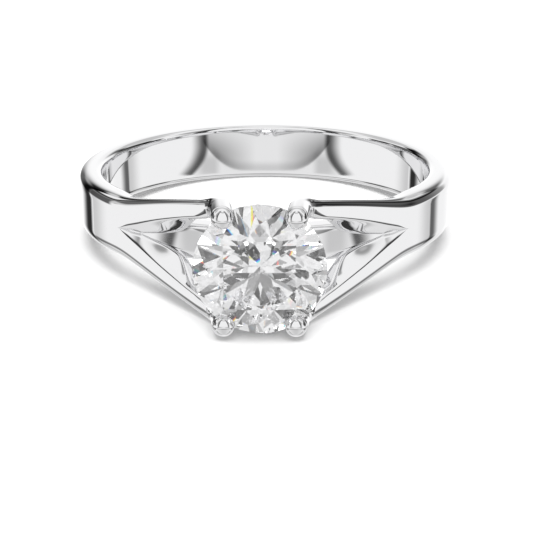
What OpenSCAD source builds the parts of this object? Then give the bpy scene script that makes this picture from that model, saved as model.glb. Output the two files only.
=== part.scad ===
// Split shank solitaire ring: one polished white gold casting and one round brilliant stone.
// Lengths are millimetres. Everything is worked out about the centre of the finger hole, with
// the finger along Z and the stone toward -Y. The finished pieces are then leaned a few degrees,
// because the ring lies on its side on two prongs and on the rim at the back of the band.

/* [Finger band] */
// Diameter of the finger hole, US size 6.5
finger_d = 16.9; // [16.5:0.1:17.3]
// Thickness of the band between the finger and its outer face
band_t = 1.25; // [1.15:0.05:1.4]
// Width of the band along the finger
band_w = 3; // [2.8:0.1:3.2]
// Set-back of the soft outer edges at the sides of the band
side_edge = 0.62; // [0.5:0.01:0.66]
// Set-back of the soft edges toward the finger
inner_edge = 0.36; // [0.3:0.01:0.4]

/* [Split arms] */
// Thickness of an arm where it has left the band
arm_t = 1; // [0.9:0.05:1.1]
// Set-back of the soft outer edges of the arms
arm_edge = 0.26; // [0.2:0.01:0.3]
// Set-back of the same edges down the outer face
arm_face_edge = 0.46; // [0.3:0.01:0.5]
// How far the notch walls step toward each other where they are tallest
notch_step = 0.75; // [0.68:0.01:0.8]
// Extra spread in the middle of the notch outline, as a share of its width
notch_belly = 0.25; // [0.15:0.01:0.35]

/* [Bridge] */
// Width of the bridge that closes the finger hole under the stone
bridge_w = 1.75; // [1.6:0.05:1.9]
// How far the bridge's outer face lies below the band's
bridge_step = 0.12; // [0.08:0.01:0.14]

/* [Stone] */
// Girdle diameter of the stone
stone_d = 6; // [5.9:0.05:6.1]
// Distance from the finger hole's centre to the middle of the girdle
girdle_y = 12.95; // [12.8:0.05:13.1]
// Thickness of the girdle
girdle_t = 0.13; // [0.08:0.01:0.2]
// Table width as a share of the girdle diameter
table_share = 0.57; // [0.53:0.01:0.6]
// Slope of the crown's main facets
crown_angle = 34.5; // [33:0.5:36]
// Slope of the pavilion's main facets
pavilion_angle = 40.8; // [40:0.1:42]

/* [Prongs] */
// Diameter of the bead at each prong's tip
tip_d = 0.97; // [0.92:0.01:1]
// Diameter of the prong below its bead
stem_d = 1.04; // [0.96:0.01:1.1]
// Direction of each prong round the stone, from the line across the ring
prong_angle = 57.1; // [56:0.1:58]
// How far a bead's centre stands out from the girdle's edge
tip_out = 0; // [0:0.01:0.06]
// Height of a bead's centre above the middle of the girdle
tip_lift = 0.5; // [0.46:0.01:0.56]
// Inward lean of the prongs
prong_lean = 5; // [3:0.5:7]
// Clearance between the metal and the stone
seat_gap = 0.04; // [0.03:0.01:0.06]

/* [Hidden] */
eps = 0.01;

// Radii of the finger hole, of the band's outer face and of the bridge's outer face
bore_r = finger_d / 2;
band_r = bore_r + band_t;
bridge_r = band_r - bridge_step;
half_w = band_w / 2;
// The swept band is this much thicker inward, and the finger hole is bored out of it
bore_stock = 0.1;

// Stone: girdle radius, table corner radius and the height of the table above the girdle
stone_r = stone_d / 2;
table_r = stone_r * table_share;
crown_h = (stone_r - table_r) * tan(crown_angle);
pavilion_h = stone_r * tan(pavilion_angle);

// Bead centre of the upper right prong
tip_ring = stone_r + tip_out;
tip_x = tip_ring * cos(prong_angle);
tip_z = tip_ring * sin(prong_angle);
tip_y = -(girdle_y + tip_lift);
tip_r = tip_d / 2;
stem_r = stem_d / 2;

// Plan of an arm's middle line: it leaves the band on a tangent, runs straight to the knee
// below the prong, turns there, and ends at the bead
knee_drop = 1.67;
knee_r = 1.2;
knee = [tip_x + knee_drop * sin(prong_lean), tip_y + knee_drop * cos(prong_lean)];
line_r = band_r - arm_t / 2;
leave_angle = atan2(knee[0], -knee[1]) + acos(line_r / norm(knee));
turn = 90 - prong_lean - leave_angle;
arm_dir = [-cos(leave_angle), -sin(leave_angle)];
leave_at = line_r * [sin(leave_angle), -cos(leave_angle)];
knee_cut = knee_r * tan(turn / 2);
s_knee = norm(knee - leave_at) - knee_cut;
s_turned = s_knee + knee_r * turn * PI / 180;
s_tip = s_turned + knee_drop - knee_cut;
s_back = -(180 - leave_angle) * line_r * PI / 180;

// Heights of an arm: where its spread starts, and its top and its notch edge at the knee
s_spread = 0.3;
spread_soft = 0.8;
knee_top = tip_z + 0.38;
knee_notch = tip_z - 0.5;
s_apex = 0.3;
// The arm's upper inner edge lies this much lower than its outer one
inner_fall = 0.3;
// Wall step near the fork, and where the arm stands free beyond the bridge
fork_step = 0.53;
free_step = 0.13;
// Slope of the notch walls near the fork, the wall's greatest depth, and the ledge that the
// walls leave before the bridge's face
fork_slope = 0.6;
deepest_wall = 0.74;
ledge = 0.14;

function clamp01(x) = min(1, max(0, x));
function ease(a, b, s) = let (q = clamp01((s - a) / (b - a))) q * q * (3 - 2 * q);
function unit(v) = v / norm(v);

// Plan position of the middle line at length s, measured from where the arm leaves the band
function turned_dir(a) = [-cos(leave_angle + a), -sin(leave_angle + a)];
function plan(s) =
    s < 0
    ? let (a = leave_angle - s / line_r * 180 / PI) line_r * [sin(a), -cos(a)]
    : s <= s_knee
    ? leave_at + s * arm_dir
    : s <= s_turned
    ? let (a = (s - s_knee) / knee_r * 180 / PI)
        leave_at + s_knee * arm_dir
        + knee_r * [sin(leave_angle) - sin(leave_angle + a), cos(leave_angle + a) - cos(leave_angle)]
    : [tip_x, tip_y] - (s_tip - s) * turned_dir(turn);

// Plan direction from the outer face toward the finger or toward the stone's axis
function inward(s) =
    s < 0
    ? let (a = leave_angle - s / line_r * 180 / PI) [-sin(a), cos(a)]
    : let (a = leave_angle + clamp01((s - s_knee) / (s_turned - s_knee)) * turn) [-sin(a), cos(a)];

// Half width of the outer face, soft where the spread begins
function ramp(s) = (s - s_spread + sqrt(pow(s - s_spread, 2) + pow(spread_soft, 2))) / 2;
function top_z(s) = half_w + (knee_top - half_w) * ramp(s) / ramp(s_knee);
function inner_top_z(s) = top_z(s) - inner_fall * ease(-1, 2.5, s);
function depth(s) = band_t + bore_stock + (arm_t - band_t - bore_stock) * ease(-2.5, 2, s);

// Notch outline on the outer face, and the lower edge of the wall that falls from it
function notch_z(s) =
    let (q = max(0, (s - s_apex) / (s_knee - s_apex)))
    knee_notch * q * (1 + notch_belly * (1 - q));
function wall_step(s) =
    fork_step + (notch_step - fork_step) * ease(1.4, 3.6, s) + (free_step - notch_step) * ease(4, 5.7, s);
function foot_z(s) = max(0, notch_z(s) - wall_step(s));
function bridge_face(s) = band_r - sqrt(bridge_r * bridge_r - pow(min(6, max(0, s)), 2));
function foot_depth(s) =
    max(eps, min(bridge_face(s) + 0.02 - ledge * ease(0.8, 3, s), fork_slope * notch_z(s), deepest_wall));

// Set-back of the outer edge: full at the sides, less on the arms and at the back
back_edge = 0.42;
function outer_edge(s) =
    side_edge + (arm_edge - side_edge) * ease(-4, 5.5, s) + (back_edge - side_edge) * ease(11, 20, -s);
function face_edge(s) = outer_edge(s) + (arm_face_edge - arm_edge) * ease(-3, 1, s);

// n points of a curve from a to b that bends round p
function bend(a, p, b, n) =
    [for (i = [0:n - 1]) let (t = i / (n - 1)) pow(1 - t, 2) * a + 2 * t * (1 - t) * p + t * t * b];
// n points of a soft corner p between neighbours a and b, set back by e
function corner(a, p, b, e, n) = bend(p + e * unit(a - p), p, p + e * unit(b - p), n);

// Section of the band or arm as [depth from the outer face, height]
function arm_section(s) =
    let (
        t = depth(s),
        c = [
            [0, top_z(s)], [t, inner_top_z(s)], [t, foot_z(s)],
            [foot_depth(s), foot_z(s)], [0, notch_z(s)]
        ],
        small = 0.06,
        foot = min(0.14, 0.4 * norm(c[3] - c[4]))
    )
    concat(
        bend(
            c[0] + face_edge(s) * unit(c[4] - c[0]), c[0], c[0] + outer_edge(s) * unit(c[1] - c[0]), 5
        ),
        corner(c[0], c[1], c[2], inner_edge, 4),
        corner(c[1], c[2], c[3], small, 2), corner(c[2], c[3], c[4], foot, 2),
        bend(c[4] + small * ease(s_apex, s_apex + 0.6, s) * unit(c[3] - c[4]), c[4], c[4] + [0, small], 3)
    );

// The same number of points round a prong of radius r, in the same order
stem_angles = [180, 157, 134, 112, 90, 67, 45, 22, 0, -22, -45, -67, -90, -120, -150, -175];
function stem_section(r, z) =
    [for (a = stem_angles) [arm_t / 2 + r * cos(a), z + r * sin(a)]];

// Radius along the prong's end, by distance back from the bead's centre:
// columns are distance and radius
tip_profile = [
    [0.9, stem_r], [0.5, stem_r * 0.99], [0.12, stem_r * 0.96], [0.07, tip_r * 0.95],
    [0, tip_r], [-tip_r * 0.22, tip_r * 0.966], [-tip_r * 0.43, tip_r * 0.866],
    [-tip_r * 0.6, tip_r * 0.707], [-tip_r * 0.74, tip_r * 0.5], [-tip_r * 0.82, tip_r * 0.26],
    [-tip_r * 0.85, tip_r * 0.09]
];

// Section at length s, where an arm turns into its prong
function section(s) =
    let (
        m = ease(s_knee - 0.6, s_turned + 0.1, s),
        a = arm_section(min(s, s_knee + 0.2)),
        b = stem_section(stem_r, tip_z)
    )
    [for (i = [0:len(a) - 1]) (1 - m) * a[i] + m * b[i]];

function place(points, s, side) =
    let (p = plan(s), n = inward(s))
    [for (q = points) let (d = q[0] - arm_t / 2) [side * (p[0] + d * n[0]), p[1] + d * n[1], q[1]]];

arm_stops = concat(
    [for (s = [s_turned:-(s_turned - s_knee) / 4:s_knee + eps]) s],
    [for (i = [13:-1:0]) s_knee * i / 13],
    [for (i = [1:22]) s_back * i / 22]
);
tip_rings = [for (i = [len(tip_profile) - 1:-1:0])
    [stem_section(tip_profile[i][1], tip_z), s_tip - tip_profile[i][0]]];
half_rings = concat(
    [for (t = tip_rings) t],
    [for (s = arm_stops) [section(s), s]]
);
last_ring = len(half_rings) - 1;
all_rings = concat(
    [for (r = half_rings) place(r[0], r[1], 1)],
    [for (i = [last_ring - 1:-1:0]) place(half_rings[i][0], half_rings[i][1], -1)]
);

// Closed skin over a row of sections that have equal numbers of points
module skin(rings) {
    n = len(rings[0]);
    m = len(rings);
    polyhedron(
        points = [for (r = rings) for (p = r) p],
        faces = concat(
            [[for (j = [n - 1:-1:0]) j]],
            [[for (j = [0:n - 1]) (m - 1) * n + j]],
            [for (i = [0:m - 2]) for (j = [0:n - 1]) for (k = [0, 1])
                k == 0
                ? [i * n + j, i * n + (j + 1) % n, (i + 1) * n + j]
                : [(i + 1) * n + j, i * n + (j + 1) % n, (i + 1) * n + (j + 1) % n]]
        )
    );
}

// Upper half of the band with its two upper arms and prongs
module half_casting() {
    skin(all_rings);
}

// Bridge: the band's own circle carried on under the stone, narrower than the band
module bridge() {
    reach = leave_angle + 22;
    w = bridge_w / 2;
    r0 = bore_r - bore_stock / 2;
    c = [[bridge_r, w], [r0, w], [r0, -w], [bridge_r, -w]];
    rotate([0, 0, -90 - reach])
    rotate_extrude(angle = 2 * reach, $fn = 96)
    polygon(concat(
        corner(c[3], c[0], c[1], 0.2, 4), corner(c[0], c[1], c[2], 0.28, 4),
        corner(c[1], c[2], c[3], 0.28, 4), corner(c[2], c[3], c[0], 0.2, 4)
    ));
}

// Room for the stone: its turned outline with the clearance added
module stone_seat() {
    r = stone_r + seat_gap;
    g = girdle_t / 2 + seat_gap;
    translate([0, -girdle_y, 0]) rotate([90, 0, 0])
    rotate_extrude($fn = 96)
    polygon([
        [0, -g - r * tan(pavilion_angle)], [r, -g], [r, g],
        [table_r, g + (r - table_r) * tan(crown_angle)], [0, g + (r - table_r) * tan(crown_angle)]
    ]);
}

// Eight-sided block with one ring of facets, whose planes pass radius r at height h and fall
// outward by slope. It reaches from z0 to z1.
module facets(azimuth, slope, r, h, z0, z1) {
    corner_r = 1 / cos(22.5);
    rotate([0, 0, azimuth + 22.5])
    translate([0, 0, z0])
    cylinder(
        r1 = corner_r * (r + (h - z0) / tan(slope)), r2 = corner_r * (r + (h - z1) / tan(slope)),
        h = z1 - z0, $fn = 8
    );
}

// Round brilliant cut: table, 8 bezel, 8 star and 16 upper girdle facets on the crown,
// 8 main and 16 lower girdle facets on the pavilion
module brilliant() {
    g = girdle_t / 2;
    table_z = g + crown_h;
    culet_z = -g - pavilion_h;
    table_flat = table_r * cos(22.5);
    star_r = (table_flat + stone_r) / 2;
    star_z = g + (stone_r - star_r * cos(22.5)) * tan(crown_angle);
    star_slope = atan((table_z - star_z) / (star_r - table_flat));
    girdle_flat = stone_r * cos(11.25);
    upper_slope = atan((star_z - g) / (girdle_flat - star_r * cos(11.25)));
    lower_r = stone_r * 0.23;
    lower_z = (stone_r - lower_r * cos(22.5)) * tan(pavilion_angle);
    lower_slope = atan(lower_z / (girdle_flat - lower_r * cos(11.25)));
    intersection() {
        translate([0, 0, culet_z]) cylinder(r = stone_r, h = table_z - culet_z, $fn = 96);
        facets(0, crown_angle, stone_r, g, culet_z, table_z);
        facets(22.5, star_slope, table_flat, table_z, culet_z, table_z);
        facets(11.25, upper_slope, girdle_flat, g, culet_z, table_z);
        facets(-11.25, upper_slope, girdle_flat, g, culet_z, table_z);
        mirror([0, 0, 1]) facets(0, pavilion_angle, stone_r, g, -table_z, -culet_z - eps);
        mirror([0, 0, 1]) facets(11.25, lower_slope, girdle_flat, g, -table_z, -culet_z - eps);
        mirror([0, 0, 1]) facets(-11.25, lower_slope, girdle_flat, g, -table_z, -culet_z - eps);
    }
}

// Lean of the resting ring: the floor touches the back rim and the lowest points of the prongs.
// The metal is alike above and below, so its upper points serve, as [distance forward, height].
front_points = [for (r = all_rings) for (p = r) if (p[1] < -bore_r) [-p[1], p[2]]];
back_points = [for (r = all_rings) for (p = r) if (p[1] > bore_r) [-p[1], p[2]]];
function topmost(points, a) =
    let (h = [for (p = points) p[1] * cos(a) - p[0] * sin(a)])
    points[search(max(h), h)[0]];
function settled(a, steps) =
    steps == 0
    ? a
    : let (d = topmost(front_points, a) - topmost(back_points, a)) settled(atan2(d[1], d[0]), steps - 1);
lean = settled(4, 5);

// Turns a piece from the finger hole's frame to the way the ring lies
module at_rest() {
    rotate([-lean, 0, 0]) children();
}

// Casting: band, split arms, bridge and prongs in one solid
module ring_casting() {
    color("gainsboro") at_rest()
    difference() {
        resize([0, 0, 0])
        difference() {
            union() {
                half_casting();
                mirror([0, 0, 1]) half_casting();
                bridge();
            }
            stone_seat();
        }
        cylinder(r = bore_r, h = 3 * band_w, center = true, $fn = 96);
    }
}

// Stone: table toward -Y, a facet corner toward each side
module centre_stone() {
    color("aliceblue") at_rest()
    translate([0, -girdle_y, 0]) rotate([90, 0, 0]) rotate([0, 0, 22.5])
    brilliant();
}

ring_casting();
centre_stone();
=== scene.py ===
# %% [markdown]
# # A split shank solitaire ring in polished white gold
# The ring lies on its side on a pale floor, as in a jeweller's product picture. It has two parts:
# one metal casting and one clear stone. Bright metal shows only what is round it, so this lesson
# spends its care on two things: surfaces whose slopes change smoothly, and a light tent whose
# panels and gaps draw the highlights.

# %% Load the frame
import math

import bmesh
import bpy
import numpy as np
from mathutils import Matrix


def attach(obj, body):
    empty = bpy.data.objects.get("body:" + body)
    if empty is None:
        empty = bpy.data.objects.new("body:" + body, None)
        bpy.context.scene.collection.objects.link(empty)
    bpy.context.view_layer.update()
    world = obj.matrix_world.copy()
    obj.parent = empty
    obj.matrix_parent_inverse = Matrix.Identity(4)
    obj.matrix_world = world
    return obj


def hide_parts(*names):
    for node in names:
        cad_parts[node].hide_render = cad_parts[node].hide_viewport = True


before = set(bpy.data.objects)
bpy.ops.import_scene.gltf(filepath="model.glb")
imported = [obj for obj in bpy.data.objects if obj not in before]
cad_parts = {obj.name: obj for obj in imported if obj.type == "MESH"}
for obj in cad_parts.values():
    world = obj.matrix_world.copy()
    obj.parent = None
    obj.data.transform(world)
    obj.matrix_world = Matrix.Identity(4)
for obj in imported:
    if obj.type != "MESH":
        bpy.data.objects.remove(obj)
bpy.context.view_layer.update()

MM = 0.001

# %% [markdown]
# ## Sizes
# These are the driving sizes of the ring in millimetres. Nearly all are those of its solid model:
# the inner edges and the knee are rounder here, and the stone sits closer in its seats. All is
# worked out about the centre of the finger hole, with the finger along Z and the stone toward -Y.
# The last step leans the result by a few degrees, because the ring rests on two prongs in front
# and on the rim at the back of the band.

# %% Sizes in millimetres
# Finger band: radius of the hole, thickness, half the width, and radius of the outer face
BORE_R, BAND_T, HALF_W = 8.45, 1.25, 1.5
BAND_R = BORE_R + BAND_T
# Thickness of an arm where it has left the band
ARM_T = 1.0
# Stone: radius, distance of the girdle from the hole's centre, half the girdle's thickness,
# slopes above and below the girdle, and height of the table over the girdle's middle
STONE_R, GIRDLE_Y, GIRDLE_HALF = 3.0, 12.95, 0.065
CROWN_SLOPE, PAVILION_SLOPE = math.tan(math.radians(34.5)), math.tan(math.radians(40.8))
CROWN_TOP = 0.951
# Prong: its direction round the stone, how far its bead's centre stands out and up from the
# girdle, the radii of bead and wire, and its inward lean
PRONG_ANGLE, TIP_OUT, TIP_LIFT = math.radians(57.1), 0.003, 0.5
TIP_R, STEM_R, PRONG_LEAN = 0.485, 0.52, math.radians(5)
TIP_RING = STONE_R + TIP_OUT
TIP = np.array([TIP_RING * math.cos(PRONG_ANGLE), -GIRDLE_Y - TIP_LIFT, TIP_RING * math.sin(PRONG_ANGLE)])
# How the ring lies: its lean, and the height of the floor
LEAN, FLOOR_Z = math.radians(4.0903), -2.1596
print(f"hole {2 * BORE_R:.1f} mm, band {2 * BAND_R:.1f} mm, stone {2 * STONE_R:.1f} mm across")

# %% [markdown]
# ## The path of an arm
# On the real ring each arm leaves the round of the band, runs straight to a knee below the stone,
# and turns there into a prong. A spline through hand-placed points could draw that, but its bends
# would wobble a little, and bright metal shows every wobble. So the middle line is a circle, its
# tangent, an arc and a straight end, which meet without a kink. Every length s along it has a
# point in plan and a direction that points in from the outer face. Negative s is on the band.

# %% Plan of an arm's middle line
# The knee is the corner that the arc rounds off: this far down the prong, with this radius
KNEE_DROP, KNEE_R = 1.67, 1.5
KNEE = TIP[:2] + KNEE_DROP * np.array([math.sin(PRONG_LEAN), math.cos(PRONG_LEAN)])
LINE_R = BAND_R - ARM_T / 2
LEAVE = math.atan2(KNEE[0], -KNEE[1]) + math.acos(LINE_R / np.hypot(*KNEE))
LEAVE_AT = LINE_R * np.array([math.sin(LEAVE), -math.cos(LEAVE)])
TURN = math.pi / 2 - PRONG_LEAN - LEAVE
KNEE_CUT = KNEE_R * math.tan(TURN / 2)
# Lengths along the line: back of the band, start and end of the knee's arc, and the bead's centre
S_BACK = -(math.pi - LEAVE) * LINE_R
S_KNEE = np.hypot(*(KNEE - LEAVE_AT)) - KNEE_CUT
S_TURNED = S_KNEE + KNEE_R * TURN
S_TIP = S_TURNED + KNEE_DROP - KNEE_CUT
print(f"arm leaves the band at {math.degrees(LEAVE):.1f} degrees, straight for {S_KNEE:.2f} mm")


# %% Soft steps, and the path
def ease(a, b, s):
    """0 up to a, 1 from b on, and 3q^2 - 2q^3 of the share q between them."""
    q = np.clip((s - a) / (b - a), 0, 1)
    return q * q * (3 - 2 * q)


def change(first, last, a, b, s):
    """first up to a, last from b on, and a soft step between them."""
    return first + (last - first) * ease(a, b, s)


def heading(s):
    """LEAVE - s / LINE_R on the band, LEAVE on the arm, and up to LEAVE + TURN round the knee."""
    share = np.clip((s - S_KNEE) / (S_TURNED - S_KNEE), 0, 1)
    return LEAVE - np.minimum(s, 0) / LINE_R + share * TURN


def path(s):
    """Point in plan: on the circle, then along the tangent, round the knee's arc, and straight on."""
    a = heading(s)
    circle = LINE_R * np.stack([np.sin(a), -np.cos(a)], 1)
    ahead = -np.array([math.cos(LEAVE), math.sin(LEAVE)])
    arm = LEAVE_AT + np.minimum(s, S_KNEE)[:, None] * ahead
    arc = KNEE_R * np.stack([math.sin(LEAVE) - np.sin(a), np.cos(a) - math.cos(LEAVE)], 1)
    stem = np.maximum(s - S_TURNED, 0)[:, None] * -np.stack([np.cos(a), np.sin(a)], 1)
    return np.where(s[:, None] < 0, circle, arm + arc + stem)


print("path at the bead, mm:", path(np.array([S_TIP])).round(3).tolist())

# %% [markdown]
# ## The section of an arm
# The real ring starts as a flat band that is sawn into a fork and filed. Its section has five
# corners: the outer face ends in a top that falls a little inward, then come the inner face, a
# narrow foot, and the sloping wall of the notch. Where the arm still lies over the bridge, the
# wall runs down to the bridge's face. Cutting a solid with boxes would make that shape too, but
# the corners would be hard to soften. As functions of s the corners move smoothly along the arm.

# %% The outer face: its upper edge, and the edge of the notch
# The upper edge rises in a straight line with a soft start, to this far above the bead's centre
RISE_AT, RISE_SOFT, KNEE_TOP = 0.3, 0.8, 0.38
# The notch opens at the apex, ends this far below the bead's centre, and bulges a little between
S_APEX, NOTCH_DROP, NOTCH_BELLY = 0.3, 0.5, 0.25


def ramp(s):
    """Half of x + sqrt(x^2 + RISE_SOFT^2), where x is the length past RISE_AT."""
    x = s - RISE_AT
    return (x + np.sqrt(x * x + RISE_SOFT**2)) / 2


TOP_RISE = (TIP[2] + KNEE_TOP - HALF_W) / ramp(S_KNEE)


def top_z(s):
    """Height of the outer face's upper edge: half the band's width, plus a share of the ramp."""
    return HALF_W + TOP_RISE * ramp(s)


def notch_z(s):
    """Height of the notch's edge: zero up to the apex, then q + NOTCH_BELLY * q(1 - q) of its end."""
    q = np.maximum(0, (s - S_APEX) / (S_KNEE - S_APEX))
    return (TIP[2] - NOTCH_DROP) * q * (1 + NOTCH_BELLY * (1 - q))


print("face at the knee, mm:", [round(float(f(S_KNEE)), 2) for f in (notch_z, top_z)])

# %% The foot of the notch's wall
# The bridge's face lies this far below the band's, and runs below the arm for this length
BRIDGE_STEP, BRIDGE_REACH = 0.12, 6.0
BRIDGE_R = BAND_R - BRIDGE_STEP
# The foot starts a little inside the bridge's face, and further out it stops a ledge before it
FOOT_SINK, LEDGE, LEDGE_GROWS = 0.02, 0.14, (0.8, 3.0)
# Its depth is at most FOOT_SLOPE times the height of the notch's edge, and at least FOOT_LEAST
FOOT_SLOPE, FOOT_LEAST, FOOT_SOFT = 0.6, 0.01, 0.06
# It is also at most DEEPEST over the bridge, and less where the arm stands free of it
DEEPEST, DEEPEST_FREE, STANDS_FREE = 0.74, 0.34, (4.0, 5.7)
# It lies this far below the notch's edge: near the fork, over the bridge, and free of it
WALL_FORK, WALL_BRIDGE, WALL_FREE, WALL_GROWS = 0.53, 0.75, 0.13, (1.4, 3.6)


def soft_min(a, b):
    """Half of a + b - sqrt((a - b)^2 + FOOT_SOFT^2), the smaller one with a soft change between."""
    return (a + b - np.sqrt((a - b) ** 2 + FOOT_SOFT**2)) / 2


def notch_foot(s):
    """Depth and height of the wall's foot. The bridge's face is BAND_R - sqrt(BRIDGE_R^2 - s^2) deep."""
    bridge_face = BAND_R - np.sqrt(BRIDGE_R**2 - np.clip(s, 0, BRIDGE_REACH) ** 2)
    depth = soft_min(bridge_face + FOOT_SINK - LEDGE * ease(*LEDGE_GROWS, s), FOOT_SLOPE * notch_z(s))
    depth = np.maximum(FOOT_LEAST, soft_min(depth, change(DEEPEST, DEEPEST_FREE, *STANDS_FREE, s)))
    wall = change(WALL_FORK, WALL_BRIDGE, *WALL_GROWS, s)
    wall = wall + (WALL_FREE - WALL_BRIDGE) * ease(*STANDS_FREE, s)
    return depth, np.maximum(0, notch_z(s) - wall)


print("foot at 3 mm: depth %.2f, height %.2f" % notch_foot(3.0))

# %% The five corners
# The metal thins from the band to the arm, in a step that starts this much above the arm's
# thickness. The top falls inward by as much as this
THINNING, THINS = 0.35, (-2.5, 2.0)
TOP_FALL, TOP_FALLS = 0.3, (-1.0, 2.5)


def corners(s):
    """The five corners as (depth from the outer face, height), an array of shape 5, s, 2."""
    inner = np.minimum(BAND_T, change(ARM_T + THINNING, ARM_T, *THINS, s))
    inner_top = top_z(s) - TOP_FALL * ease(*TOP_FALLS, s)
    foot_depth, foot = notch_foot(s)
    zero = np.zeros_like(s)
    face = [(zero, top_z(s)), (inner, inner_top), (inner, foot)]
    wall = [(foot_depth, foot), (zero, notch_z(s))]
    return np.stack([np.stack(point, 1) for point in face + wall])


print("corners at 3 mm:", corners(np.array([3.0]))[:, 0].round(2).tolist())

# %% [markdown]
# ## Soft edges
# A polished edge is never sharp. The wheel leaves a narrow curve on it, and that curve gathers the
# whole room into the thin dark lines along the arms. A Bevel modifier gives every edge one width,
# but on this ring the widths change: wide at the sides, narrow on the arms, and a round nose at
# the knee. So each corner is drawn as a short parabola whose set-back is a function of s.

# %% Set-backs of the soft edges, in millimetres
# The outer edge at the sides, on the arms and at the back, and where it changes
SIDE_EDGE, ARM_EDGE, BACK_EDGE = 0.62, 0.26, 0.42
TO_ARM, TO_BACK = (-4.0, 5.5), (11.0, 20.0)
# On the arms the same edge stays larger down the outer face
FACE_EDGE, TO_FACE = 0.46, (-3.0, 1.0)
# The inner edge at the sides and at the back
INNER_EDGE, INNER_EDGE_BACK, TO_INNER_BACK = 0.4, 0.2, (8.0, 20.0)
# The notch's upper and lower edges with the most that each takes of the wall, and the length
# past the apex over which they begin
SMALL_EDGE, SMALL_SHARE, FOOT_EDGE, FOOT_SHARE, WAKE = 0.09, 0.3, 0.14, 0.4, 0.6
# At the knee the flat face ends in a nose, rounded by this much more below and above
NOSE, NOSE_TOP, NOSE_GROWS = 0.3, 0.05, (S_KNEE - 0.9, S_KNEE + 0.1)


def outer_edge(s):
    """Set-back of the outer edge across the top: the sides' value, and a step toward each other one."""
    at_arm = (ARM_EDGE - SIDE_EDGE) * ease(*TO_ARM, s)
    return SIDE_EDGE + at_arm + (BACK_EDGE - SIDE_EDGE) * ease(*TO_BACK, -s)


def face_edge(s):
    """The same edge's set-back down the outer face."""
    return outer_edge(s) + (FACE_EDGE - ARM_EDGE) * ease(*TO_FACE, s) + NOSE_TOP * ease(*NOSE_GROWS, s)


print("outer edge at the side and on the arm:", outer_edge(np.array([-6.0, 5.5])).round(2).tolist())


# %% Draw the section
def unit(v):
    """Vectors divided by their own lengths."""
    return v / np.maximum(np.linalg.norm(v, axis=-1, keepdims=True), 1e-9)


def bend(a, p, b, n):
    """n points of the parabola that leaves a toward p and arrives at b: (1-t)^2 a + 2t(1-t) p + t^2 b."""
    t = np.linspace(0, 1, n)[:, None, None]
    return (1 - t) ** 2 * a + 2 * t * (1 - t) * p + t * t * b


# Points on each corner, and on the run after it
CORNER_POINTS, RUN_POINTS = (11, 9, 3, 4, 4), (3, 8, 2, 5, 8)
# The inner face bulges toward the finger by this much, for comfort, up to the fork
INNER_CROWN, CROWN_ENDS = 0.03, (-4.0, 0.0)


def arm_section(s):
    """Points round the section, shape n, s, 2: a parabola at each corner and even steps between."""
    corner = corners(s)
    wall = np.linalg.norm(corner[3] - corner[4], axis=1)[:, None]
    small = np.minimum(SMALL_EDGE, SMALL_SHARE * wall)
    foot = np.minimum(FOOT_EDGE, FOOT_SHARE * wall)
    waking = small * ease(S_APEX, S_APEX + WAKE, s)[:, None]
    inner = change(INNER_EDGE, INNER_EDGE_BACK, *TO_INNER_BACK, -s)[:, None]
    nose = small + NOSE * ease(*NOSE_GROWS, s)[:, None]
    set_in = [face_edge(s)[:, None], inner, waking, foot, waking]
    set_out = [outer_edge(s)[:, None], inner, small, foot]
    into = [corner[k] + set_in[k] * unit(corner[k - 1] - corner[k]) for k in range(5)]
    away = [corner[k] + set_out[k] * unit(corner[k + 1] - corner[k]) for k in range(4)]
    away.append(corner[4] + nose * np.array([0.0, 1.0]))
    rows = []
    for k in range(5):
        rows.append(bend(into[k], corner[k], away[k], CORNER_POINTS[k]))
        t = (np.arange(1, RUN_POINTS[k] + 1) / (RUN_POINTS[k] + 1))[:, None, None]
        rows.append(away[k] + t * (into[(k + 1) % 5] - away[k]))
    rows = np.concatenate(rows)
    crowned = (1 - ease(*CROWN_ENDS, s)) * ease(BAND_T / 2, BAND_T, rows[..., 0])
    rows[..., 0] -= INNER_CROWN * crowned * (rows[..., 1] / HALF_W) ** 2
    return rows


print("points round a section:", len(arm_section(np.array([3.0]))))

# %% [markdown]
# ## From arm to prong and bead
# At the knee the filed section turns into a round wire. The wire runs straight to a slight crease,
# and a low dome of metal sits on its end, pushed over the stone's edge by the setter. A cylinder
# and a ball could stand there instead, but a seam on bright metal shows at once. So every point
# of the section is given an angle round the wire, and the one shape fades into the other.

# %% Angles round the wire
# Where the two ends of each corner of the section come to lie on the wire, in degrees
WIRE_CORNERS = ((180, 90), (67, 0), (-22, -45), (-67, -90), (-120, -175))


def wire_angles():
    """Angle round the wire of each point of the section: even steps over each corner and each run."""
    angles = []
    for k in range(5):
        first, last = WIRE_CORNERS[k]
        after = WIRE_CORNERS[(k + 1) % 5][0] - (360 if k == 4 else 0)
        angles.append(np.linspace(first, last, CORNER_POINTS[k]))
        angles.append(np.linspace(last, after, RUN_POINTS[k] + 2)[1:-1])
    return np.radians(np.concatenate(angles))


around = wire_angles()
print("largest step round the wire:", round(float(np.degrees(-np.diff(around)).max()), 1), "degrees")

# %% The end of a prong
# The last straight stretch of wire, as distances back from the bead's centre, and its taper
WIRE_FROM, WIRE_TO, WIRE_TAPER, WIRE_STATIONS = 1.0, 0.12, 0.02, 14
# The crease below the dome, as distances back and radii
CREASE = np.array([[0.09, 0.48], [0.06, 0.455], [0.03, 0.465]])
# The dome's height as a share of its radius, and how much it faces away from the stone
BEAD_DOME, BEAD_TILT, BEAD_STATIONS = 0.85, 0.12, 30


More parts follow.
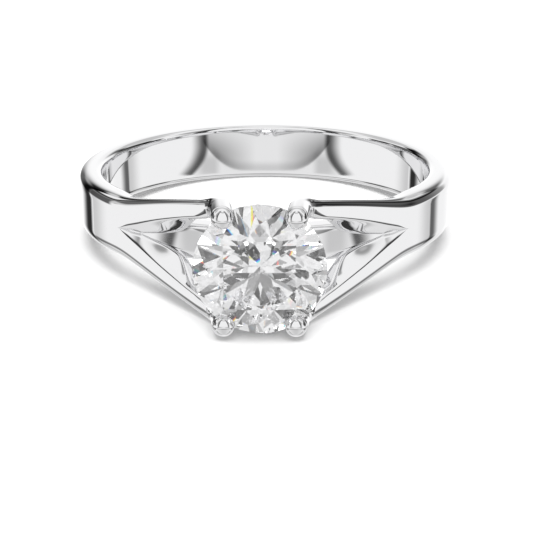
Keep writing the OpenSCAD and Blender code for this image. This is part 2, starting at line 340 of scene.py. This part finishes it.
def prong_end():
    """Distance back from the bead's centre and radius there: the wire, the crease and an ellipse."""
    q = np.linspace(0, 1, WIRE_STATIONS)
    wire = np.stack([WIRE_FROM + (WIRE_TO - WIRE_FROM) * q, STEM_R - WIRE_TAPER * q * q], 1)
    a = np.linspace(math.pi / 2, math.pi, BEAD_STATIONS)
    dome = TIP_R * np.stack([BEAD_DOME * np.cos(a), np.sin(a)], 1)
    return np.concatenate([wire, CREASE, dome])


end = prong_end()
print("the dome stands", round(-float(end[-1, 0]), 2), "mm above the bead's centre")

# %% Stations along the arm, and a quarter of the casting
# How many stations lie on the band, on the straight arm and past it, and the gap before the end
BAND_STATIONS, ARM_STATIONS, KNEE_STATIONS, END_GAP = 110, 90, 18, 0.05
# Past the first of these lengths the section no longer changes. From the second on it turns
# into the wire, until the path has turned round the knee
SECTION_ENDS, WIRE_STARTS = S_KNEE + 0.2, S_KNEE - 0.5
# The dome's tilt grows over this length before the bead's centre
TILT_GROWS = 0.34

s_body = np.concatenate([
    np.linspace(S_BACK, 0, BAND_STATIONS, endpoint=False),
    np.linspace(0, S_KNEE, ARM_STATIONS, endpoint=False),
    np.linspace(S_KNEE, S_TIP - WIRE_FROM - END_GAP, KNEE_STATIONS),
])
s_all = np.concatenate([s_body, S_TIP - end[:, 0]])
radius = np.concatenate([np.full(len(s_body), STEM_R), end[:, 1]])
rim = radius * np.stack([np.cos(around), np.sin(around)])[..., None]
wire = np.stack([ARM_T / 2 + rim[0], TIP[2] + rim[1]], -1)
share = ease(WIRE_STARTS, S_TURNED, s_all)[:, None]
section = (1 - share) * arm_section(np.minimum(s_all, SECTION_ENDS)) + share * wire

# Put each section on the path, and lean the dome away from the stone
angle = heading(s_all)
inward = np.stack([-np.sin(angle), np.cos(angle)], 1)
plan = path(s_all) + (section[..., :1] - ARM_T / 2) * inward
quarter = np.concatenate([plan, section[..., 1:]], -1)
outward = (TIP[2] * rim[1] - TIP[0] * rim[0]) / TIP_RING
quarter[..., 1] += BEAD_TILT * ease(TILT_GROWS, 0.0, S_TIP - s_all) * outward
print("grid of a quarter of the casting:", quarter.shape[:2])

# %% [markdown]
# ## Seats in the prongs
# A setter cuts a notch into each prong so that the stone's edge sits in the metal. A Boolean with
# the stone would cut it too, but it leaves ragged triangles that spoil the shine. Here every point
# of the prong that would be inside the stone is moved straight out to the stone's outline.

# %% Cut the seats
# Clearance between the metal and the stone, and how far the seat reaches above the table
SEAT_GAP, SEAT_ABOVE = 0.02, 0.05


def seat_radius(h):
    """Radius of the stone plus its gap at height h above the girdle's middle."""
    above = STONE_R + SEAT_GAP - np.maximum(0, h - GIRDLE_HALF) / CROWN_SLOPE
    below = STONE_R + SEAT_GAP - np.maximum(0, -h - GIRDLE_HALF) / PAVILION_SLOPE
    return np.where(h < CROWN_TOP + SEAT_ABOVE, np.maximum(0, np.minimum(above, below)), 0)


def cut_seat(points):
    """Multiplies the distance from the stone's axis by seat radius / distance, where that is over 1."""
    h = -points[..., 1] - GIRDLE_Y
    away = np.maximum(np.hypot(points[..., 0], points[..., 2]), 1e-6)
    grow = np.maximum(1, seat_radius(h) / away)
    return points * np.stack([grow, np.ones_like(grow), grow], -1)


uncut = quarter
quarter = cut_seat(uncut)
print("points moved by the seats:", int((np.abs(quarter - uncut).max(-1) > 1e-6).sum()))

# %% [markdown]
# ## The bridge
# Under the stone a bar carries the band's circle on and closes the finger hole. On the real ring
# it is cast with the arms. It could be cut from a ring with a Boolean, but a sweep keeps its edges
# even: a soft-edged bar is carried round the circle, and its ends run into the band, where the two
# surfaces meet at a crease.

# %% Sweep the bridge
# Half its width, how far its inner face stands back from the finger hole, and its corners' edges
BRIDGE_HALF, BRIDGE_LIFT, BRIDGE_EDGES = 0.875, 0.003, (0.2, 0.28, 0.28, 0.2)
# How far each end runs into the band, and the number of stations. One more station near each
# end, at this many radians from it, keeps the shine even up to the edge
BRIDGE_OVERLAP, BRIDGE_STATIONS, BRIDGE_RIM = math.radians(4), 121, 0.0002
# Points on each soft edge, and on each flat
BEND_POINTS, FLAT_POINTS = 9, 4


def bridge_grid():
    """A rounded rectangle at radius r and height z becomes the points (r sin a, -r cos a, z)."""
    low, high, w = BORE_R + BRIDGE_LIFT, BRIDGE_R, BRIDGE_HALF
    corner = np.array([[high, w], [low, w], [low, -w], [high, -w]])[:, None, :]
    into = [corner[k] + BRIDGE_EDGES[k] * unit(corner[k - 1] - corner[k]) for k in range(4)]
    away = [corner[k] + BRIDGE_EDGES[k] * unit(corner[(k + 1) % 4] - corner[k]) for k in range(4)]
    t = (np.arange(1, FLAT_POINTS + 1) / (FLAT_POINTS + 1))[:, None, None]
    rows = []
    for k in range(4):
        rows.append(bend(into[k], corner[k], away[k], BEND_POINTS))
        rows.append(away[k] + t * (into[(k + 1) % 4] - away[k]))
    outline = np.concatenate(rows)[:, 0]
    reach = LEAVE + BRIDGE_OVERLAP
    a = np.append(np.linspace(-reach, reach, BRIDGE_STATIONS), [BRIDGE_RIM - reach, reach - BRIDGE_RIM])
    a = np.sort(a)
    r, z = outline[:, :1], np.repeat(outline[:, 1:], len(a), 1)
    bar = np.stack([r * np.sin(a), -r * np.cos(a), z], -1)
    first, last = (np.broadcast_to(bar[:, k].mean(0), bar[:, :1].shape) for k in (0, -1))
    return np.concatenate([first, bar, last], 1)


bridge = bridge_grid()
print("grid of the bridge, with a point that closes each end:", bridge.shape[:2])

# %% [markdown]
# ## From grids to one mesh
# A grid of points becomes quads by pairing each row with the next. Three mirror images of the
# quarter give the whole casting. A Mirror modifier could do that too, but plain arrays let one
# step merge all the seams, so that the shine runs on without a line. Quads that lie in the middle
# plane, where two halves meet, are inside the metal and are left out. Mirroring turns faces
# inside out, so at the end every face is turned to look outward.

# %% Grid helpers
# Points closer than this become one, and points this close to the middle plane are put on it
MERGE, NEAR_PLANE = 0.0004, 0.001


def grid_quads(rows, cols):
    """Corner numbers of each quad of a grid that is stored row by row and closes on its first row."""
    i, j = np.meshgrid(np.arange(rows), np.arange(cols - 1), indexing="ij")
    k = (i + 1) % rows
    return np.stack([i * cols + j, i * cols + j + 1, k * cols + j + 1, k * cols + j], -1).reshape(-1, 4)


def lean(points):
    """Turns points about X by -LEAN, from the finger hole's frame to the way the ring lies."""
    x, y, z = points[:, 0], points[:, 1], points[:, 2]
    c, s = math.cos(LEAN), math.sin(LEAN)
    return np.stack([x, y * c + z * s, z * c - y * s], 1)


def join_grids(grids):
    """Points and quads of several grids, without what lies in the middle plane.

    A quad is later split from its first corner to its third. So where one corner alone is off the
    plane, it is put first, and neither half of the quad lies in the plane.
    """
    points, quads, start = [], [], 0
    for grid in grids:
        flat = grid.reshape(-1, 3).copy()
        flat[:, 2] *= np.abs(flat[:, 2]) > NEAR_PLANE
        faces = grid_quads(*grid.shape[:2])
        off = flat[faces][..., 2] != 0
        turned = np.take_along_axis(faces, (off.argmax(1)[:, None] + np.arange(4)) % 4, 1)
        faces = np.where(off.sum(1, keepdims=True) == 1, turned, faces)
        quads.append(faces[off.any(1)] + start)
        points.append(flat)
        start += len(flat)
    used, quads = np.unique(np.concatenate(quads), return_inverse=True)
    return np.concatenate(points)[used], quads.reshape(-1, 4)


def close_mesh(mesh):
    """Merges points that are the same, turns the faces outward and gives the volume in mm3."""
    work = bmesh.new()
    work.from_mesh(mesh)
    bmesh.ops.remove_doubles(work, verts=work.verts, dist=MERGE * MM)
    bmesh.ops.dissolve_degenerate(work, edges=work.edges, dist=MERGE * MM)
    bmesh.ops.recalc_face_normals(work, faces=work.faces)
    volume = work.calc_volume(signed=True) / MM**3
    work.to_mesh(mesh)
    work.free()
    return volume


def open_edges(mesh):
    """How many edges have a face on one side only."""
    edge = np.zeros(len(mesh.loops), int)
    mesh.loops.foreach_get("edge_index", edge)
    return int((np.bincount(edge) == 1).sum())


def make_piece(name, grids, material):
    """One object from several grids of points in millimetres, leaned, closed and shaded smooth."""
    points, quads = join_grids(grids)
    mesh = bpy.data.meshes.new(name)
    mesh.from_pydata(lean(points) * MM, [], quads.tolist())
    volume = close_mesh(mesh)
    mesh.shade_smooth()
    mesh.materials.append(material)
    piece = bpy.data.objects.new(name, mesh)
    bpy.context.scene.collection.objects.link(piece)
    print(f"{name}: {len(mesh.polygons)} faces, {open_edges(mesh)} open edges, {volume:.1f} mm3 in all")
    return piece


print("a bead's middle after the lean, mm:", lean(TIP[None]).round(2).tolist())


# %% Colour and node helpers for the materials
def colour(hex_value):
    """sRGB hex such as E6E4E1 to a linear RGBA colour."""
    parts = [int(hex_value[k:k + 2], 16) / 255 for k in (0, 2, 4)]
    return [p / 12.92 if p <= 0.04045 else ((p + 0.055) / 1.055) ** 2.4 for p in parts] + [1]


def add(tree, kind, sockets=None, **settings):
    """Adds a node, sets its properties, and fills each named socket with a value or a link."""
    node = tree.nodes.new("ShaderNode" + kind)
    for key, value in settings.items():
        setattr(node, key, value)
    for key, value in (sockets or {}).items():
        if isinstance(value, bpy.types.NodeSocket):
            tree.links.new(value, node.inputs[key])
        else:
            node.inputs[key].default_value = value
    return node


def new_material(name):
    """An empty material with its node tree."""
    material = bpy.data.materials.new(name)
    material.use_nodes = True
    material.node_tree.nodes.clear()
    return material, material.node_tree


print("white in linear light:", colour("FFFFFF"))

# %% [markdown]
# ## Rhodium-plated white gold
# White gold is an alloy that is plated with a thin layer of rhodium and polished on a wheel. It
# mirrors most of the light with hardly any tint, and the wheel leaves faint hairlines that soften
# the mirror a little. One roughness for the whole ring would look like plastic film, so the
# hairlines vary it. On the real ring they are a few hundredths of a millimetre apart. They are
# drawn at 0.25 mm, which is the finest that shows here.

# %% Rhodium-plated white gold, mirror polished
HAIRLINE, STRETCH = 0.25, 6
white_gold, tree = new_material("rhodium_plated_white_gold")
where = add(tree, "TexCoord").outputs["Object"]
stretched = add(tree, "Mapping", {"Vector": where, "Scale": (1, 1, STRETCH)}).outputs[0]
hairs = add(tree, "TexNoise", {"Vector": stretched, "Scale": 1 / (HAIRLINE * MM), "Detail": 2}).outputs[0]
polish = add(tree, "MapRange", {"Value": hairs, "To Min": 0.015, "To Max": 0.05}).outputs[0]
metal = add(tree, "BsdfPrincipled", {
    "Base Color": colour("EFEFF0"), "Metallic": 1.0, "Roughness": polish,
})
add(tree, "OutputMaterial", {"Surface": metal.outputs[0]})
print(white_gold.name, "mirrors", [round(c, 2) for c in colour("EFEFF0")[:3]], "of the light")

# %% The casting
flip_x, flip_z = np.array([-1, 1, 1]), np.array([1, 1, -1])
casting = make_piece("polished_casting", [
    quarter, quarter * flip_x, quarter * flip_z, quarter * flip_x * flip_z, bridge,
], white_gold)
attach(casting, "root")
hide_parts("ring_casting")

# %% [markdown]
# ## Diamond
# A diamond is clear and bends light more than anything else on a jeweller's bench, and that turns
# its facets into a mosaic of bright and dark. Its facets are flat, so the solid model's own mesh
# is already right, and only its finish changes: smooth glass with a diamond's index.

# %% Brilliant-cut diamond, on the stone of the solid model
diamond, tree = new_material("brilliant_cut_diamond")
gem = add(tree, "BsdfPrincipled", {
    "Base Color": colour("FBFBFC"), "Roughness": 0.0, "IOR": 2.417, "Transmission Weight": 1.0,
    "Specular IOR Level": 0.25,
})
add(tree, "OutputMaterial", {"Surface": gem.outputs[0]})
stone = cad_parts["centre_stone"]
stone.data.materials.clear()
stone.data.materials.append(diamond)
print(stone.name, "has", len(stone.data.polygons), "faces")

# %% [markdown]
# ## Floor
# The ring lies on a sheet of matte white paper. A floor that shone would show a second ring, so
# the paper is plain diffuse. Real fibres are far too fine to show here, so they are drawn 0.4 mm
# apart and very faint. The metal doesn't mirror the paper: it shows the tent's own soft greys
# there, which have no noise.

# %% Matte white paper
FIBRE, FLOOR_HALF = 0.4, 0.6
paper, tree = new_material("matte_white_paper")
where = add(tree, "TexCoord").outputs["Object"]
fibres = add(tree, "TexNoise", {"Vector": where, "Scale": 1 / (FIBRE * MM)}).outputs[0]
tone = add(tree, "MapRange", {"Value": fibres, "To Min": 0.93, "To Max": 0.95}).outputs[0]
sheet = add(tree, "BsdfDiffuse", {"Color": tone})
add(tree, "OutputMaterial", {"Surface": sheet.outputs[0]})


def make_floor():
    """A square sheet at the floor's height, for the stage only."""
    mesh = bpy.data.meshes.new("floor")
    x = FLOOR_HALF * np.array([-1, 1, 1, -1])
    y = FLOOR_HALF * np.array([-1, -1, 1, 1])
    mesh.from_pydata(np.stack([x, y, np.full(4, FLOOR_Z * MM)], 1), [], [(0, 1, 2, 3)])
    mesh.materials.append(paper)
    floor = bpy.data.objects.new("floor", mesh)
    bpy.context.scene.collection.objects.link(floor)
    floor.visible_glossy = False
    floor.visible_transmission = False
    return floor


print(make_floor().name, "at", FLOOR_Z, "mm")

# %% [markdown]
# ## The light tent
# A product picture of a ring is taken in a tent of white panels. The panels give broad white
# reflections, and the dark gaps between them give the dark lines that show the shape. Lamps and
# cards could stand round the ring in the scene, but small lamps make noise, and every card takes
# many tries. Here the tent is painted on the world by direction, so it is soft and costs nothing.
# A direction has an azimuth, 0 toward the front and growing to the right, and a height, 0 at the
# horizon, both in degrees. The tent starts white, and each gap takes a share of the light away.

# %% Directions
world = bpy.data.worlds.new("light_tent")
bpy.context.scene.world = world
world.use_nodes = True
tent = world.node_tree
tent.nodes.clear()
xyz = add(tent, "SeparateXYZ", {0: add(tent, "TexCoord").outputs["Generated"]}).outputs


def sums(operation, a, b=0.0):
    """One step of arithmetic on the tent's values."""
    return add(tent, "Math", {0: a, 1: b}, operation=operation).outputs[0]


azimuth = sums("MULTIPLY", sums("ARCTAN2", xyz[0], sums("MULTIPLY", xyz[1], -1.0)), math.degrees(1))
side = sums("ABSOLUTE", azimuth)
height = sums("MULTIPLY", sums("ARCSINE", xyz[2]), math.degrees(1))
print("the tent's directions take", len(tent.nodes), "nodes")


# %% Masks
def fade(value, start, end):
    """0 at start and 1 at end, with 3q^2 - 2q^3 between."""
    return add(tent, "MapRange", {"Value": value, "From Min": start, "From Max": end},
               interpolation_type="SMOOTHSTEP").outputs[0]


def band(value, a, b, c, d):
    """Rises from a to b and falls from c to d."""
    return sums("MULTIPLY", fade(value, a, b), fade(value, d, c))


def both(*masks):
    """The product of all the masks."""
    result = masks[0]
    for mask in masks[1:]:
        result = sums("MULTIPLY", result, mask)
    return result


def bowl(value, start, factor):
    """factor * x^2 of what value has past start, and 0 before it. It bends the edge of a gap."""
    beyond = sums("MAXIMUM", sums("SUBTRACT", value, start), 0.0)
    return sums("MULTIPLY", sums("POWER", beyond, 2.0), factor)


# The back panel is the brightest, by this share, up to a little above the horizon. The list
# holds what this panel adds and what each gap leaves of the light
BACK_GLOW = 0.13
kept = [sums("ADD", 1.0, sums("MULTIPLY", both(fade(side, 140, 160), fade(height, 18, 5)), BACK_GLOW))]


def darken(loss, *masks):
    """Adds a gap or a grey card: where all its masks are 1, the tent keeps 1 - loss of its light."""
    kept.append(sums("SUBTRACT", 1.0, sums("MULTIPLY", both(*masks), loss)))


print("bright panels before the gaps:", len(kept))

# %% Gaps beside, above and below the front panel, as the beads show them
darken(0.95, band(side, 43, 46, 53, 58), band(height, -4, 4, 58, 64))
darken(0.85, fade(side, 58, 50), band(height, 64, 66, 69, 72))
darken(0.75, fade(side, 135, 128), band(height, -29, -27, -24, -21.5))
# Below the camera the front panel is greyer toward its sides, with a rounded lower edge. This is
# the dark middle of the band's inner back wall
falling = add(tent, "MapRange", {"Value": side, "From Min": 8, "From Max": 50}).outputs[0]
rising = sums("SUBTRACT", height, bowl(side, 18, 0.006))
darken(0.90, falling, fade(side, 49, 46), fade(rising, -14.55, -13.9), fade(height, -3.7, -11.7))
darken(0.25, band(rising, -14.55, -14, -13.7, -11.7), fade(side, 44, 36))
# Beside it a gap curves outward as it goes down, and a grey wedge fills the corner inside it
seam = sums("SUBTRACT", side, bowl(sums("MULTIPLY", height, -1.0), 9.4, 0.308))
darken(0.87, band(seam, 42.2, 46.2, 47.2, 57.7), band(height, -16.3, -15.7, 0, 8))
darken(0.28, band(side, 33, 40, 46, 56), band(height, -17.4, -14.5, -12.8, -10))
# The whole lower half of the front panel is a little greyer
darken(0.10, fade(side, 59, 53), fade(height, 6, -6))
print("gaps round the front panel:", len(kept) - 1)

# %% Side panels, which darken toward the front gap, more so high up
darken(0.30, band(side, 57, 58, 60, 70), band(height, -8, -2, 10, 30))
darken(0.65, band(side, 52, 56, 57, 84), band(height, 12, 24, 70, 80))
darken(0.60, band(side, 48, 54, 82, 89), band(height, 61, 66, 80, 86))
print("with the side panels:", len(kept) - 1)

# %% The gaps between side and back panels, which draw the dark ends of the outer face
# Left: crisp in front and soft behind
darken(0.97, band(azimuth, -152, -138, -133, -128.5), band(height, -40, -26, 24, 30))
darken(0.33, band(azimuth, -129, -128, -127, -108), fade(height, 20, 0))
darken(0.88, band(azimuth, -173, -155, -107, -102.5), band(height, -13, -9, 6, 20))
# Right: a narrower gap below, and a grey card above it
darken(0.86, band(azimuth, 119.5, 121.5, 124, 134), band(height, -40, -26, -14, -12))
darken(0.33, band(azimuth, 104, 119, 120, 121), fade(height, -10, -13))
card = both(band(azimuth, 95, 98, 105, 190), band(azimuth, 90, 95, 135, 144))
darken(0.90, card, band(height, -11, -8, 20, 28))
print("with the back gaps:", len(kept) - 1)

# %% A dark arch above the back panel, and gaps behind and below the side panels
darken(0.97, band(azimuth, -173, -150, -136, -130), band(height, 9, 19, 25, 30))
darken(0.85, band(azimuth, 130, 136, 148, 172), band(height, 9, 19, 25, 30))
darken(0.93, band(side, 92, 100, 131, 140), band(height, 9, 13, 17, 21))
darken(0.95, band(side, 80, 85, 98, 106), band(height, -6, -3, 13, 22))
darken(0.45, band(side, 66, 70, 71, 77), band(height, 22, 30, 66, 78))
darken(0.90, band(side, 78, 86, 100, 114), band(height, -38, -33, -29, -25))
darken(0.38, fade(side, 90, 105), band(height, 26, 31, 45, 60))
print("with the arch:", len(kept) - 1)

# %% The lower half, lit a little less, most of all beside the ring
darken(0.15, fade(height, -22, -30))
darken(0.12, fade(side, 40, 15), fade(height, -22, -30))
darken(0.75, band(side, 70, 80, 82, 101), fade(height, -40, -52))
sky = add(tent, "Background", {"Color": colour("FFFFFF"), "Strength": both(*kept)})
print("gaps and cards in the whole tent:", len(kept) - 1)

# %% [markdown]
# ## What the stone gathers
# A cut stone looks out through its crown into the whole room, so each facet shows another patch:
# a pale panel, a grey one, or the dark beside the lens. Real patches would need a real room. Here
# they are cells of a Voronoi pattern, the same left and right, that only light inside the stone
# sees. Each colour sees them a little shifted, because a diamond bends blue more than red, and
# that draws thin blue and orange seams.

# %% Patches for the stone
PATCHES, DISPERSION = 6.6, 0.0015
DARKEST, PALEST, PALE = 0.15, 0.50, 0.93
beside = sums("ABSOLUTE", xyz[0])
seen = []
for shift in (-DISPERSION, 0.0, DISPERSION):
    looking = add(tent, "CombineXYZ", {0: beside, 1: xyz[1], 2: sums("ADD", xyz[2], shift)}).outputs[0]
    cell = add(tent, "TexVoronoi", {"Vector": looking, "Scale": PATCHES}).outputs["Color"]
    draw = add(tent, "SeparateColor", {0: cell}).outputs[0]
    seen.append(add(tent, "MapRange", {
        "Value": draw, "From Min": DARKEST, "From Max": PALEST, "To Max": PALE,
    }, interpolation_type="SMOOTHSTEP").outputs[0])
patches = add(tent, "CombineColor", {0: seen[0], 1: seen[1], 2: seen[2]}).outputs[0]
room = add(tent, "Background", {"Color": patches})
through = add(tent, "LightPath").outputs["Is Transmission Ray"]
whole = add(tent, "MixShader", {0: through, 1: sky.outputs[0], 2: room.outputs[0]})
add(tent, "OutputWorld", {"Surface": whole.outputs[0]})
print("the whole tent takes", len(tent.nodes), "nodes")

# %% [markdown]
# ## Light from above
# The tent alone would leave hardly a shadow on the floor, and the ring would seem to float. A
# broad lamp overhead gives the soft shadow under the band. The metal doesn't mirror it.

# %% Soft light from above, for the floor
LAMP_SIZE, LAMP_WATTS, LAMP_UP = 0.3, 1.0, 0.3
light = bpy.data.objects.new("overhead", bpy.data.lights.new("overhead", "AREA"))
bpy.context.scene.collection.objects.link(light)
light.data.size, light.data.energy = LAMP_SIZE, LAMP_WATTS
light.location = (0, 0, LAMP_UP)
light.visible_glossy = False
print("lamp", LAMP_SIZE, "m across,", LAMP_UP, "m up")

# %% [markdown]
# ## Camera
# The camera was found from the photograph's outlines: the finger hole, the band, the stone and
# the beads. It stands 78 mm from the hole's centre, a little above the ring, with a long lens, as
# for a product picture. Its place is worked out in the finger hole's frame, and then leaned like
# the ring.

# %% Place the camera
CAMERA_AWAY, CAMERA_UP, CAMERA_ASIDE = 78.0, math.radians(15.635), math.radians(1.086)
CAMERA_ROLL, AIM = math.radians(-0.09), np.array([0.061, 0, -4.215])
# Focal length and width of the picture in pixels, and width of the sensor in millimetres
FOCAL, PICTURE, SENSOR = 1477.47, 533, 36


def make_camera():
    """Away from the centre by CAMERA_AWAY, at its two angles, looking at AIM and rolled a little."""
    level, rise = math.cos(CAMERA_UP), math.sin(CAMERA_UP)
    at = CAMERA_AWAY * np.array([level * math.sin(CAMERA_ASIDE), -level * math.cos(CAMERA_ASIDE), rise])
    forward = unit(AIM - at)
    right = unit(np.cross(forward, [0, 0, 1]))
    up = np.cross(right, forward)
    c, s = math.cos(CAMERA_ROLL), math.sin(CAMERA_ROLL)
    at, right, up, forward = lean(np.stack([at, right * c + up * s, up * c - right * s, forward]))
    camera = bpy.data.objects.new("camera", bpy.data.cameras.new("camera"))
    bpy.context.scene.collection.objects.link(camera)
    camera.data.sensor_width = SENSOR
    camera.data.lens = FOCAL / PICTURE * SENSOR
    camera.data.clip_start, camera.data.clip_end = 0.005, 10
    place = np.eye(4)
    place[:3] = np.stack([right, up, -forward, at * MM], 1)
    camera.matrix_world = Matrix(place.tolist())
    bpy.context.scene.camera = camera
    print("camera at", at.round(2).tolist(), "mm, lens", round(camera.data.lens, 1), "mm")


make_camera()

# %% Colours as they are, and enough bounces for the stone
bpy.context.scene.view_settings.view_transform = "Standard"
bpy.context.scene.cycles.max_bounces = 24
bpy.context.scene.cycles.glossy_bounces = 16
bpy.context.scene.cycles.transmission_bounces = 16
print("bounces in the stone:", bpy.context.scene.cycles.transmission_bounces)
